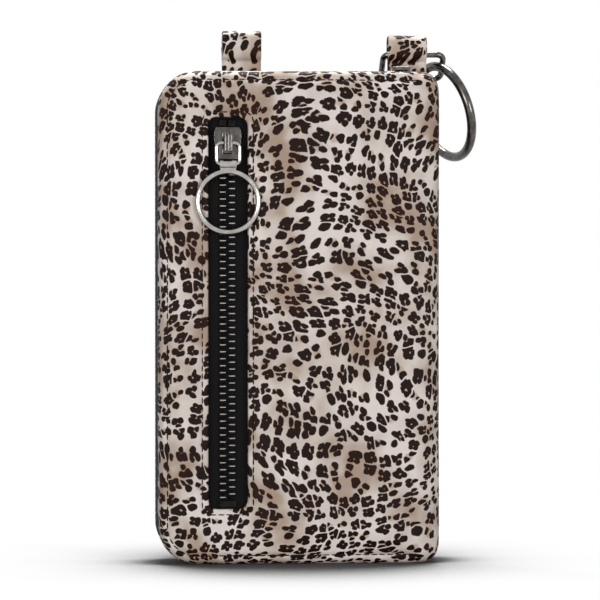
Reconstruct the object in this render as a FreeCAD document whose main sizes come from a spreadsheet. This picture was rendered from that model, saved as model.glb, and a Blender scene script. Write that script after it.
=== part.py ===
import FreeCAD, Part
import math
import os
import re

import Sketcher
from FreeCAD import Placement, Rotation, Vector

# Driving dimensions of the phone pouch, in millimetres and degrees.
SIZES = {
    # The two padded halves that meet at the main zip.
    "pouch_width": 102,
    "pouch_height": 178,
    "pouch_depth": 28,
    "pouch_wall": 3.0,
    "zip_band": 13,
    "zip_corner_radius": 14,
    "spine_corner_radius": 6,
    "face_edge_radius": 5,
    "spine_thickness": 1.6,
    "spine_reach": 7,
    "body_clearance": 0.3,
    # The window in the front panel where the pocket zip shows.
    "window_width": 14,
    "window_bottom": 20.3,
    "window_top": 17.2,
    "window_inset": 25,
    "window_corner_radius": 1.5,
    # Tapes, teeth and stops of both zips.
    "tape_thickness": 0.7,
    "tape_margin": 4,
    "chain_width": 6.0,
    "chain_gap": 0.7,
    "tooth_pitch": 2.5,
    "tooth_width": 1.3,
    "tooth_height": 2.2,
    "stop_length": 2.2,
    "stop_clearance": 0.5,
    "main_tape_side_inset": 0.2,
    "main_tape_end_inset": 2.8,
    "main_tape_radius": 12,
    # Sliders of both zips.
    "slider_length": 11.6,
    "slider_nose_width": 10.4,
    "slider_tail_width": 8.6,
    "slider_plate": 0.9,
    "slider_play": 0.25,
    "slider_slot": 1.3,
    "slider_flange": 0.8,
    "slider_web": 0.4,
    "slider_web_length": 3,
    "crown_width": 3.2,
    "crown_length": 7.4,
    "crown_post": 1.3,
    "crown_bar": 1.0,
    "front_crown_gap": 3.6,
    "main_crown_gap": 1.8,
    # Link and ring pull of the pocket zip.
    "link_wire": 1.4,
    "link_width": 8.3,
    "link_length": 7.6,
    "link_corner_radius": 1.8,
    "pull_ring_diameter": 21.8,
    "pull_ring_wire": 1.9,
    "pull_barrel_diameter": 3.2,
    "pull_barrel_width": 6.0,
    "pull_neck_width": 5.6,
    "pull_neck_length": 2.6,
    "pull_neck_thickness": 1.6,
    "pull_bore_play": 0.2,
    # Tab pull of the main zip.
    "main_pull_wire": 1.2,
    "main_pull_eye_width": 5.6,
    "main_pull_eye_length": 4.4,
    "main_pull_eye_radius": 1.4,
    "main_pull_tab_width": 5,
    "main_pull_tab_length": 15,
    "main_pull_tab_thickness": 1.0,
    # Linings and pockets inside.
    "cloth": 0.6,
    "lining_margin": 8,
    "phone_pocket_side": 7,
    "phone_pocket_top": 32,
    "phone_pocket_bottom": 8,
    "phone_pocket_gap": 3.8,
    "bag_left": 7,
    "bag_right": 29,
    "bag_top": 14,
    "bag_bottom": 14,
    "bag_depth": 5.4,
    # Strap loops on the top edge.
    "loop_width": 14.4,
    "loop_depth": 7.2,
    "loop_strip": 1.3,
    "loop_crown_radius": 3.4,
    "left_loop_height": 15.5,
    "right_loop_height": 14.2,
    "loop_stem_height": 4.6,
    "loop_stem_thickness": 1.8,
    "left_loop_inset": 31.3,
    "right_loop_inset": 9.7,
    # Rectangular ring in the right loop.
    "loop_ring_width": 22.2,
    "loop_ring_length": 12.5,
    "loop_ring_wire": 2.2,
    "loop_ring_radius": 2.6,
    "loop_ring_tilt": 48,
    "loop_ring_shift": 2.5,
    # Spring gate ring that hangs on the rectangular ring.
    "gate_ring_diameter": 34.6,
    "gate_ring_wire": 3.4,
    "gate_ring_turn": 66,
    "gate_ring_lean": 16,
    "gate_ring_hang": 6.5,
    "gate_ring_hang_angle": 115,
    "gate_ring_play": 0.3,
    "gate_start": 151,
    "gate_span": 85,
    "gate_wire": 3.0,
    "gate_end_gap": 0.25,
    "gate_fork_reach": 1.9,
    "gate_shoulder": 2.7,
    "gate_tongue": 1.1,
    "gate_tongue_radius": 1.25,
    "gate_tongue_play": 0.1,
    "gate_pin_diameter": 1.0,
    "gate_pin_play": 0.05,
    "gate_slot_depth": 5.8,
    "gate_spring_thickness": 0.6,
    "gate_spring_length": 4.2,
    # How far a cutting tool runs past the piece that it cuts.
    "overrun": 1,
}

doc = FreeCAD.newDocument("phone_pouch")
sheet = doc.addObject("Spreadsheet::Sheet", "Sizes")
for row, (alias, number) in enumerate(SIZES.items(), start=1):
    sheet.set(f"A{row}", alias)
    sheet.set(f"B{row}", str(number))
    sheet.setAlias(f"B{row}", alias)
doc.recompute()

nodes = []

ALONG_X = Vector(1, 0, 0)
ALONG_Y = Vector(0, 1, 0)
ALONG_Z = Vector(0, 0, 1)

# Lengths that differ by less than this, in millimetres, count as the same.
SAME = 1e-4


def size(alias):
    """A driving dimension, read from the sheet."""
    return float(sheet.get(alias))


def bind(item, prop, formula):
    """Ties a property to the sheet: the formula names sizes by their aliases."""
    linked = re.sub(r"[a-z]\w*", lambda word: "Sizes." + word[0] if word[0] in SIZES else word[0], formula)
    item.setExpression(prop, linked)


def place(item, x="0", y="0", z="0", prop="Placement"):
    """Ties a position to the sheet, one formula for each axis."""
    for axis, formula in (("x", x), ("y", y), ("z", z)):
        bind(item, f"{prop}.Base.{axis}", formula)


def finish(item, label):
    """Names a finished sub-part and keeps it for the hand-in."""
    item.Label = label
    nodes.append(item)
    return item


# Helpers for pieces that are sketched and padded.


def new_body(name):
    return doc.addObject("PartDesign::Body", name)


def rectangle(body, role, name, wide, tall, x="0", y="0", z="0"):
    """A sketched rectangle whose low corner lies at x, y on an origin plane, z in front of it."""
    sketch = body.newObject("Sketcher::SketchObject", name)
    plane = next(item for item in body.Origin.OriginFeatures if item.Role == role)
    sketch.AttachmentSupport = [(plane, "")]
    sketch.MapMode = "FlatFace"
    place(sketch, x, y, z, "AttachmentOffset")
    corners = [Vector(0, 0), Vector(1, 0), Vector(1, 1), Vector(0, 1)]
    for i in range(4):
        sketch.addGeometry(Part.LineSegment(corners[i], corners[(i + 1) % 4]))
    for i in range(4):
        sketch.addConstraint(Sketcher.Constraint("Coincident", i, 2, (i + 1) % 4, 1))
        sketch.addConstraint(Sketcher.Constraint("Horizontal" if i % 2 == 0 else "Vertical", i))
    sketch.addConstraint(Sketcher.Constraint("Coincident", 0, 1, -1, 1))
    for name_of_size, line, formula in (("wide", 0, wide), ("tall", 1, tall)):
        index = sketch.addConstraint(Sketcher.Constraint("Distance", line, 1))
        sketch.renameConstraint(index, name_of_size)
        bind(sketch, f"Constraints.{name_of_size}", formula)
    doc.recompute()
    return sketch


def pad(body, sketch, name, length, backwards=False):
    feature = body.newObject("PartDesign::Pad", name)
    feature.Profile = sketch
    feature.Reversed = backwards
    bind(feature, "Length", length)
    doc.recompute()
    return feature


def round_edges(body, base, name, radius, chosen):
    """Rounds the edges of a feature for which chosen(edge) is true."""
    names = [f"Edge{i}" for i, edge in enumerate(base.Shape.Edges, start=1) if chosen(edge)]
    feature = body.newObject("PartDesign::Fillet", name)
    feature.Base = (base, names)
    bind(feature, "Radius", radius)
    doc.recompute()
    return feature


def hollow(body, base, name, wall, opened):
    """Leaves a wall of even thickness inside a feature, open at the faces for which opened(face) is true."""
    names = [f"Face{i}" for i, face in enumerate(base.Shape.Faces, start=1) if opened(face)]
    feature = body.newObject("PartDesign::Thickness", name)
    feature.Base = (base, names)
    feature.Reversed = True
    feature.Join = 1
    bind(feature, "Value", wall)
    doc.recompute()
    return feature


def along(edge, axis):
    """Is the edge a straight line along an axis?"""
    if len(edge.Vertexes) != 2:
        return False
    step = edge.Vertexes[1].Point - edge.Vertexes[0].Point
    return abs(abs(step.dot(axis)) - edge.Length) < SAME


def faces_to(direction):
    """A test for flat faces that look in a direction."""
    return lambda face: face.normalAt(0, 0).dot(direction) > 0.999


# Helpers for pieces that are put together from solids.


def box(name, length, width, height, x="0", y="0", z="0"):
    solid = doc.addObject("Part::Box", name)
    for prop, formula in (("Length", length), ("Width", width), ("Height", height)):
        bind(solid, prop, formula)
    place(solid, x, y, z)
    return solid


def cylinder(name, radius, height, turn, x="0", y="0", z="0"):
    """A cylinder whose axis is turned from +Z by a rotation."""
    solid = doc.addObject("Part::Cylinder", name)
    bind(solid, "Radius", radius)
    bind(solid, "Height", height)
    solid.Placement.Rotation = turn
    place(solid, x, y, z)
    return solid


def fuse(name, solids):
    joined = doc.addObject("Part::MultiFuse", name)
    joined.Shapes = solids
    return joined


def cut(name, base, tool):
    cut_piece = doc.addObject("Part::Cut", name)
    cut_piece.Base = base
    cut_piece.Tool = tool
    return cut_piece


TO_X = Rotation(ALONG_Y, 90)

# The padded halves: a front tray with the pocket's window, and a back tray.


def tray(name, outward):
    """One padded half, open towards the main zip. Its rim lies in the plane y = 0."""
    body = new_body(name)
    outline = rectangle(
        body, "XZ_Plane", name + "_outline", "pouch_width", "pouch_height", "-pouch_width / 2",
    )
    block = pad(body, outline, name + "_block", "(pouch_depth - zip_band) / 2", backwards=outward > 0)
    zip_side = round_edges(
        body, block, name + "_zip_corners", "zip_corner_radius",
        lambda edge: along(edge, ALONG_Y) and edge.CenterOfMass.x < 0,
    )
    spine_side = round_edges(
        body, zip_side, name + "_spine_corners", "spine_corner_radius",
        lambda edge: along(edge, ALONG_Y) and edge.CenterOfMass.x > 0
        and abs(edge.CenterOfMass.x - size("pouch_width") / 2) < SAME,
    )
    face_depth = outward * (size("pouch_depth") - size("zip_band")) / 2
    face = round_edges(
        body, spine_side, name + "_face_edge", "face_edge_radius",
        lambda edge: abs(edge.BoundBox.YMin - face_depth) < SAME
        and abs(edge.BoundBox.YMax - face_depth) < SAME,
    )
    shell = hollow(body, face, name + "_hollow", "pouch_wall", faces_to(Vector(0, -outward, 0)))
    place(body, y="zip_band / 2" if outward > 0 else "-zip_band / 2")
    return body, shell


# The pocket zip's middle line across the pouch, and the height of its window.
ZIP_LINE = "(window_inset - pouch_width / 2)"
WINDOW_HEIGHT = "(pouch_height - window_bottom - window_top)"
WINDOW_TOP = "pouch_height - window_top"
zip_line = size("window_inset") - size("pouch_width") / 2

front_shell, front_tray = tray("front_shell", -1)
window = rectangle(
    front_shell, "XZ_Plane", "front_shell_window", "window_width", WINDOW_HEIGHT,
    ZIP_LINE + " - window_width / 2", "window_bottom",
)
whole_tray = front_tray.Shape.Volume
opening = front_shell.newObject("PartDesign::Pocket", "front_shell_opening")
opening.Profile = window
opening.Type = "ThroughAll"
opening.Midplane = True
doc.recompute()
if opening.Shape.Volume >= whole_tray:
    raise ValueError("the pocket's window cuts nothing")


def in_window(edge):
    middle = edge.CenterOfMass
    beside = abs(abs(middle.x - zip_line) - size("window_width") / 2) < SAME
    return along(edge, ALONG_Y) and beside


round_edges(front_shell, opening, "front_shell_window_corners", "window_corner_radius", in_window)
finish(front_shell, "front_shell")

back_shell, back_tray = tray("back_shell", 1)
finish(back_shell, "back_shell")

# The spine: a strip of the same cloth that joins the halves on the right and laps over the zip's two ends.
spine = new_body("spine_strip")
spine_outline = rectangle(
    spine, "XZ_Plane", "spine_outline", "spine_reach", "pouch_height", "pouch_width / 2 - spine_reach",
)
spine_block = pad(spine, spine_outline, "spine_block", "zip_band - body_clearance")
spine_round = round_edges(
    spine, spine_block, "spine_corners", "spine_corner_radius",
    lambda edge: along(edge, ALONG_Y) and abs(edge.CenterOfMass.x - size("pouch_width") / 2) < SAME,
)
hollow(
    spine, spine_round, "spine_hollow", "spine_thickness",
    lambda face: faces_to(-ALONG_Y)(face) or faces_to(ALONG_Y)(face) or faces_to(-ALONG_X)(face),
)
place(spine, y="zip_band / 2")
finish(spine, "spine_strip")

# The main zip: a tape on each half, round the top, the left side and the bottom.


def main_tape(name, low_y):
    body = new_body(name)
    outline = rectangle(
        body, "XZ_Plane", name + "_outline",
        "pouch_width - spine_reach - main_tape_side_inset", "pouch_height - 2 * main_tape_end_inset",
        "main_tape_side_inset - pouch_width / 2", "main_tape_end_inset",
    )
    block = pad(body, outline, name + "_block", "(zip_band - chain_width) / 2", backwards=True)
    corners = round_edges(
        body, block, name + "_corners", "main_tape_radius",
        lambda edge: along(edge, ALONG_Y) and edge.CenterOfMass.x < 0,
    )
    hollow(
        body, corners, name + "_hollow", "tape_thickness",
        lambda face: faces_to(-ALONG_Y)(face) or faces_to(ALONG_Y)(face) or faces_to(ALONG_X)(face),
    )
    place(body, y=low_y)
    return finish(body, name)


main_tape("main_tape_front", "-zip_band / 2")
main_tape("main_tape_back", "chain_width / 2")


def tooth():
    """One zip tooth: its foot at the tape's edge in the plane x = 0, its head towards +x, along z."""
    length = (size("chain_width") - size("chain_gap")) / 2
    corner = Vector(0, -size("tooth_height") / 2, -size("tooth_width") / 2)
    return Part.makeBox(length, size("tooth_height"), size("tooth_width"), corner)


def tooth_row(name, places):
    row = doc.addObject("Part::Feature", name)
    model = tooth()
    row.Shape = Part.makeCompound([model.transformed(spot.toMatrix()) for spot in places])
    return finish(row, name)


def main_path():
    """The middle line of the main tapes, as edges from the top's spine end round to the bottom's."""
    middle = size("tape_thickness") / 2
    left = middle + size("main_tape_side_inset") - size("pouch_width") / 2
    right = size("pouch_width") / 2 - size("spine_reach") - size("slider_length") - size("stop_clearance")
    low = size("main_tape_end_inset") + middle
    high = size("pouch_height") - low
    radius = size("main_tape_radius") - middle
    slant = radius * (1 - math.sqrt(0.5))
    top_bend = Part.Arc(
        Vector(left + radius, 0, high), Vector(left + slant, 0, high - slant), Vector(left, 0, high - radius),
    )
    low_bend = Part.Arc(
        Vector(left, 0, low + radius), Vector(left + slant, 0, low + slant), Vector(left + radius, 0, low),
    )
    return Part.Wire([
        Part.LineSegment(Vector(right, 0, high), Vector(left + radius, 0, high)).toShape(),
        top_bend.toShape(),
        Part.LineSegment(Vector(left, 0, high - radius), Vector(left, 0, low + radius)).toShape(),
        low_bend.toShape(),
        Part.LineSegment(Vector(left + radius, 0, low), Vector(right, 0, low)).toShape(),
    ])


def main_row(name, side, start_share):
    """A row of teeth along the main zip. side is -1 at the front half and 1 at the back half."""
    pitch = size("tooth_pitch")
    distance = pitch * start_share
    places = []
    for edge in main_path().OrderedEdges:
        while distance < edge.Length:
            parameter = edge.getParameterByLength(distance)
            tangent = edge.tangentAt(parameter)
            towards_middle = Vector(0, -side, 0)
            turn = Rotation(towards_middle, Vector(), tangent, "XZY")
            foot = edge.valueAt(parameter) - towards_middle * size("chain_width") / 2
            places.append(Placement(foot, turn))
            distance += pitch
        distance -= edge.Length
    return tooth_row(name, places)


main_row("main_teeth_front", -1, 0.3)
main_row("main_teeth_back", 1, 0.8)

# The pocket zip in the front panel's window.
PANEL_INSIDE = "-pouch_depth / 2 + pouch_wall"
CHAIN_MIDDLE = PANEL_INSIDE + " + tape_thickness / 2"
chain_depth = -size("pouch_depth") / 2 + size("pouch_wall") + size("tape_thickness") / 2


def pocket_tape(name, low_x):
    tape = box(
        name, "(window_width - chain_width) / 2 + tape_margin", "tape_thickness",
        WINDOW_HEIGHT + " + 2 * tape_margin", low_x, PANEL_INSIDE, "window_bottom - tape_margin",
    )
    return finish(tape, name)


pocket_tape("pocket_tape_left", ZIP_LINE + " - window_width / 2 - tape_margin")
pocket_tape("pocket_tape_right", ZIP_LINE + " + chain_width / 2")


def pocket_row(name, side, start_share):
    pitch = size("tooth_pitch")
    lowest = size("window_bottom") + size("stop_length") + 2 * size("stop_clearance")
    highest = size("pouch_height") - size("window_top") - size("stop_length") - 2 * size("stop_clearance")
    towards_middle = Vector(-side, 0, 0)
    turn = Rotation(towards_middle, Vector(), ALONG_Z, "XZY")
    foot_x = zip_line + side * size("chain_width") / 2
    count = int((highest - lowest) / pitch - start_share)
    places = [
        Placement(Vector(foot_x, chain_depth, lowest + pitch * (i + start_share)), turn) for i in range(count)
    ]
    return tooth_row(name, places)


pocket_row("pocket_teeth_left", -1, 0.3)
pocket_row("pocket_teeth_right", 1, 0.8)

STOP_LOW_Y = CHAIN_MIDDLE + " - tooth_height / 2"
pocket_bottom_stop = box(
    "pocket_bottom_stop", "chain_width", "tooth_height", "stop_length",
    ZIP_LINE + " - chain_width / 2", STOP_LOW_Y, "window_bottom + stop_clearance",
)
finish(pocket_bottom_stop, "pocket_bottom_stop")
top_stops = [
    box(
        "pocket_top_stop_" + side, "(chain_width - chain_gap) / 2", "tooth_height", "stop_length",
        low_x, STOP_LOW_Y, WINDOW_TOP + " - stop_clearance - stop_length",
    )
    for side, low_x in (
        ("left", ZIP_LINE + " - chain_width / 2"),
        ("right", ZIP_LINE + " + chain_gap / 2"),
    )
]
pocket_top_stops = doc.addObject("Part::Compound", "pocket_top_stops")
pocket_top_stops.Links = top_stops
finish(pocket_top_stops, "pocket_top_stops")

# Sliders. The travel runs along z with the nose at the top, and the face with the crown looks along -y.


def slider(name, crown_gap):
    """A slider about the middle of its chain, with its tail in the plane z = 0."""
    inside = "tooth_height / 2 + slider_play"
    plates = []
    plate_face = f"-({inside} + slider_plate)"
    for side, low_y in (("face", plate_face), ("back", inside)):
        plate = doc.addObject("Part::Wedge", f"{name}_{side}_plate")
        for prop, formula in (
            ("Xmin", "-slider_tail_width / 2"), ("Xmax", "slider_tail_width / 2"),
            ("X2min", "-slider_nose_width / 2"), ("X2max", "slider_nose_width / 2"),
            ("Ymin", "0"), ("Ymax", "slider_length"),
            ("Zmin", "0"), ("Zmax", "slider_plate"), ("Z2min", "0"), ("Z2max", "slider_plate"),
        ):
            bind(plate, prop, formula)
        plate.Placement.Rotation = Rotation(ALONG_X, 90)
        place(plate, y=low_y + " + slider_plate")
        plates.append(plate)
    flanges = []
    flange_height = "(tooth_height + 2 * slider_play - slider_slot) / 2"
    for across, low_x in (
        ("left", "-chain_width / 2 - slider_play - slider_flange"),
        ("right", "chain_width / 2 + slider_play"),
    ):
        for side, low_y in (("face", f"-({inside})"), ("back", "slider_slot / 2")):
            flange_name = f"{name}_{across}_{side}_flange"
            flanges.append(box(flange_name, "slider_flange", flange_height, "slider_length", low_x, low_y))
    web = box(
        name + "_web", "slider_web", "tooth_height + 2 * slider_play", "slider_web_length",
        "-slider_web / 2", f"-({inside})", "slider_length - slider_web_length",
    )
    crown_low = "(slider_length - crown_length) / 2"
    posts = [
        box(
            f"{name}_{end}_post", "crown_width", crown_gap, "crown_post",
            "-crown_width / 2", f"{plate_face} - {crown_gap}", low_z,
        )
        for end, low_z in (("tail", crown_low), ("nose", f"{crown_low} + crown_length - crown_post"))
    ]
    bar = box(
        name + "_crown_bar", "crown_width", "crown_bar", "crown_length",
        "-crown_width / 2", f"{plate_face} - {crown_gap} - crown_bar", crown_low,
    )
    return finish(fuse(name, plates + flanges + [web] + posts + [bar]), name)


pocket_slider = slider("pocket_slider", "front_crown_gap")
POCKET_SLIDER_LOW = WINDOW_TOP + " - stop_length - 2 * stop_clearance - slider_length"
place(pocket_slider, ZIP_LINE, CHAIN_MIDDLE, POCKET_SLIDER_LOW)

main_slider = slider("main_slider", "main_crown_gap")
main_slider.Placement.Rotation = Rotation(Vector(0, -1, 0), Vector(0, 0, -1), ALONG_X, "ZYX")
MAIN_CHAIN_HEIGHT = "pouch_height - main_tape_end_inset - tape_thickness / 2"
MAIN_SLIDER_TAIL = "pouch_width / 2 - spine_reach - slider_length"
place(main_slider, MAIN_SLIDER_TAIL, "0", MAIN_CHAIN_HEIGHT)

# Bent wire: a rectangle of round wire with rounded corners, in its own XZ plane.


def wire_rectangle(name, width, length, radius, wire):
    """A closed ring of round wire, hung from the middle of its upper bar, with the named sizes."""
    half, reach, bend = size(width) / 2, size(length), size(radius)
    slant = bend * (1 - math.sqrt(0.5))
    corners = [Vector(half, 0, 0), Vector(half, 0, -reach), Vector(-half, 0, -reach), Vector(-half, 0, 0)]
    ways = [ALONG_X, -ALONG_Z, -ALONG_X, ALONG_Z]
    edges = []
    last = Vector()
    for i, corner in enumerate(corners):
        way_in, way_out = ways[i], ways[(i + 1) % 4]
        enter = corner - way_in * bend
        leave = corner + way_out * bend
        edges.append(Part.LineSegment(last, enter).toShape())
        edges.append(Part.Arc(enter, corner + (way_out - way_in) * slant, leave).toShape())
        last = leave
    edges.append(Part.LineSegment(last, Vector()).toShape())
    section = Part.Wire(Part.makeCircle(size(wire) / 2, Vector(), ALONG_X))
    ring = doc.addObject("Part::Feature", name)
    ring.Shape = Part.Wire(edges).makePipeShell([section], True, False)
    return ring


# The pocket zip's pull: a wire link through the slider's crown, and a ring on a barrel round the link's
# lower bar.
PULL_PLANE = "-pouch_depth / 2 - body_clearance - pull_ring_wire / 2"
LINK_TOP = POCKET_SLIDER_LOW + " + slider_length / 2"
LINK_FOOT = LINK_TOP + " - link_length"
pocket_link = wire_rectangle(
    "pocket_pull_link", "link_width", "link_length", "link_corner_radius", "link_wire",
)
place(pocket_link, ZIP_LINE, PULL_PLANE, LINK_TOP)
finish(pocket_link, "pocket_pull_link")

pull_ring = doc.addObject("Part::Torus", "pull_ring")
bind(pull_ring, "Radius1", "pull_ring_diameter / 2")
bind(pull_ring, "Radius2", "pull_ring_wire / 2")
pull_ring.Placement.Rotation = Rotation(ALONG_X, 90)
place(pull_ring, z="-pull_neck_length - pull_ring_diameter / 2")
pull_neck = box(
    "pull_neck", "pull_neck_width", "pull_neck_thickness", "pull_neck_length",
    "-pull_neck_width / 2", "-pull_neck_thickness / 2", "-pull_neck_length",
)
pull_barrel = cylinder(
    "pull_barrel", "pull_barrel_diameter / 2", "pull_barrel_width", TO_X, "-pull_barrel_width / 2",
)
pull_blank = fuse("pull_blank", [pull_ring, pull_neck, pull_barrel])
pull_bore = cylinder(
    "pull_bore", "link_wire / 2 + pull_bore_play", "pull_barrel_width + 2 * overrun", TO_X,
    "-pull_barrel_width / 2 - overrun",
)
ring_pull = cut("pocket_ring_pull", pull_blank, pull_bore)
place(ring_pull, ZIP_LINE, PULL_PLANE, LINK_FOOT)
finish(ring_pull, "pocket_ring_pull")

# The main zip's pull: a wire eye through the low crown, with a flat tab that lies along the chain.
eye = wire_rectangle(
    "main_pull_eye", "main_pull_eye_width", "main_pull_eye_length", "main_pull_eye_radius", "main_pull_wire",
)
tab = box(
    "main_pull_plate", "main_pull_tab_width", "main_pull_tab_thickness", "main_pull_tab_length",
    "-main_pull_tab_width / 2", "-main_pull_tab_thickness / 2",
    "-main_pull_eye_length - main_pull_tab_length",
)
main_pull = fuse("main_pull_tab", [eye, tab])
main_pull.Placement.Rotation = main_slider.Placement.Rotation
MAIN_SLIDER_TOP = MAIN_CHAIN_HEIGHT + " + tooth_height / 2 + slider_play + slider_plate"
MAIN_CROWN_INSIDE = MAIN_SLIDER_TAIL + " + (slider_length - crown_length) / 2 + crown_post"
EYE_WIRE_ROOM = " + body_clearance + main_pull_wire / 2"
place(main_pull, MAIN_CROWN_INSIDE + EYE_WIRE_ROOM, "0", MAIN_SLIDER_TOP + EYE_WIRE_ROOM)
finish(main_pull, "main_pull_tab")

# Inside: a lining in each half, the sleeve for the phone and the bag of the front pocket.
LINING_WIDTH = "pouch_width - 2 * lining_margin"
LINING_HEIGHT = "pouch_height - 2 * lining_margin"
LINING_LEFT = "lining_margin - pouch_width / 2"
BACK_LINING = "pouch_depth / 2 - pouch_wall - cloth"
back_lining = box(
    "back_lining", LINING_WIDTH, "cloth", LINING_HEIGHT, LINING_LEFT, BACK_LINING, "lining_margin",
)
finish(back_lining, "back_lining")

BAG_FACE = PANEL_INSIDE + " + tape_thickness + body_clearance / 2"
BAG_LEFT = "bag_left - pouch_width / 2"
BAG_WIDTH = "pouch_width - bag_left - bag_right"
BAG_HEIGHT = "pouch_height - bag_bottom - bag_top"
bag_blank = box("bag_blank", BAG_WIDTH, "bag_depth", BAG_HEIGHT, BAG_LEFT, BAG_FACE, "bag_bottom")
bag_room = box(
    "bag_room", BAG_WIDTH + " - 2 * cloth", "bag_depth - 2 * cloth", BAG_HEIGHT + " - 2 * cloth",
    BAG_LEFT + " + cloth", BAG_FACE + " + cloth", "bag_bottom + cloth",
)
bag_mouth = box(
    "bag_mouth", "window_width", "cloth + 2 * overrun", WINDOW_HEIGHT,
    ZIP_LINE + " - window_width / 2", BAG_FACE + " - overrun", "window_bottom",
)
pocket_bag = cut("front_pocket_bag", cut("bag_sleeve", bag_blank, bag_room), bag_mouth)
finish(pocket_bag, "front_pocket_bag")

FRONT_LINING = BAG_FACE + " + bag_depth + body_clearance / 2"
front_lining = box(
    "front_lining", LINING_WIDTH, "cloth", LINING_HEIGHT, LINING_LEFT, FRONT_LINING, "lining_margin",
)
finish(front_lining, "front_lining")

phone_pocket = new_body("phone_pocket")
sleeve_outline = rectangle(
    phone_pocket, "XZ_Plane", "phone_pocket_outline",
    "pouch_width - 2 * phone_pocket_side", "pouch_height - phone_pocket_bottom - phone_pocket_top",
    "phone_pocket_side - pouch_width / 2", "phone_pocket_bottom",
)
SLEEVE_DEPTH = f"{BACK_LINING} - ({FRONT_LINING} + cloth + phone_pocket_gap)"
sleeve_block = pad(phone_pocket, sleeve_outline, "phone_pocket_block", SLEEVE_DEPTH)
hollow(
    phone_pocket, sleeve_block, "phone_pocket_hollow", "cloth",
    lambda face: faces_to(ALONG_Y)(face) or faces_to(ALONG_Z)(face),
)
place(phone_pocket, y=BACK_LINING)
finish(phone_pocket, "phone_pocket")

# Strap loops: a folded strip with a stem sewn to the back half's top edge.


def strap_loop(name, height, middle):
    body = new_body(name)
    outline = rectangle(
        body, "YZ_Plane", name + "_outline", "loop_depth", f"{height} - loop_stem_height",
        "(loop_stem_thickness - loop_depth) / 2", "loop_stem_height",
    )
    block = pad(body, outline, name + "_block", "loop_width")
    bends = round_edges(body, block, name + "_bends", "loop_crown_radius", lambda edge: along(edge, ALONG_X))
    hollow(
        body, bends, name + "_hollow", "loop_strip",
        lambda face: faces_to(ALONG_X)(face) or faces_to(-ALONG_X)(face),
    )
    foot = rectangle(
        body, "YZ_Plane", name + "_foot", "loop_stem_thickness", "loop_stem_height + loop_strip / 2",
    )
    pad(body, foot, name + "_stem", "loop_width")
    place(body, f"{middle} - loop_width / 2", "zip_band / 2", "pouch_height")
    return finish(body, name)


strap_loop("left_strap_loop", "left_loop_height", "left_loop_inset - pouch_width / 2")
strap_loop("right_strap_loop", "right_loop_height", "pouch_width / 2 - right_loop_inset")

# The rectangular ring hangs with its upper bar in the right loop and leans over the back.
LOOP_MIDDLE_Y = "zip_band / 2 + loop_stem_thickness / 2"
LOOP_RING_BAR = "pouch_height + loop_stem_height + loop_strip + loop_ring_wire / 2 + body_clearance"
loop_ring = wire_rectangle(
    "strap_loop_ring", "loop_ring_width", "loop_ring_length", "loop_ring_radius", "loop_ring_wire",
)
loop_ring.Placement.Rotation = Rotation(ALONG_X, size("loop_ring_tilt"))
place(loop_ring, "pouch_width / 2 - right_loop_inset + loop_ring_shift", LOOP_MIDDLE_Y, LOOP_RING_BAR)
finish(loop_ring, "strap_loop_ring")
doc.recompute()

# The spring gate ring. In its own frame it lies in the XY plane about the origin, and angles turn from +x.
ring_radius = size("gate_ring_diameter") / 2
gate_end = size("gate_start") + size("gate_span")


def on_ring(angle):
    return Vector(ring_radius * math.cos(math.radians(angle)), ring_radius * math.sin(math.radians(angle)), 0)


def ring_angle(length):
    """The angle that a length takes up along the ring's middle line."""
    return math.degrees(length / ring_radius)


def arc_bar(diameter, first, last):
    """A piece of the ring's round bar between two angles."""
    start = on_ring(first)
    way = Vector(-start.y, start.x, 0)
    path = Part.Arc(start, on_ring((first + last) / 2), on_ring(last)).toShape()
    section = Part.Wire(Part.makeCircle(diameter / 2, start, way))
    return Part.Wire([path]).makePipeShell([section], True, False)


def slab(thickness, length, width, spot, way):
    """A flat block about the ring's plane, from a spot along a way, its width to both sides."""
    block = Part.makeBox(length, width, thickness, Vector(0, -width / 2, -thickness / 2))
    return block.transformed(Placement(spot, Rotation(way, Vector(), ALONG_Z, "XZY")).toMatrix(), True)


def upright(diameter, height, spot):
    """A round bar through the ring's plane."""
    return Part.makeCylinder(diameter / 2, height, spot - ALONG_Z * height / 2, ALONG_Z)


pivot = on_ring(size("gate_start"))
latch = on_ring(gate_end)
chord = (latch - pivot).normalize()
into_body = Vector(pivot.y, -pivot.x, 0).normalize()
block_size = 4 * size("gate_ring_wire")
end_gap = chord * size("gate_end_gap") / 2
latch_overrun = ring_angle(size("gate_ring_wire"))
slot = size("gate_tongue") + 2 * size("gate_tongue_play")
slot_end = pivot + into_body * size("gate_slot_depth")

# The fixed bar, forked at the hinge and cut slantwise at the latch.
fixed_bar = arc_bar(
    size("gate_ring_wire"), gate_end - latch_overrun,
    size("gate_start") + 360 + ring_angle(size("gate_fork_reach")),
)
fork_slot = slab(slot, 2 * size("gate_slot_depth"), block_size, slot_end, -into_body)
latch_side = slab(block_size, block_size, block_size, latch + end_gap, -chord)
pin_hole = upright(size("gate_pin_diameter"), 2 * size("gate_ring_wire"), pivot)
fixed_shape = fixed_bar.cut(fork_slot).cut(latch_side).cut(pin_hole)

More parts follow.
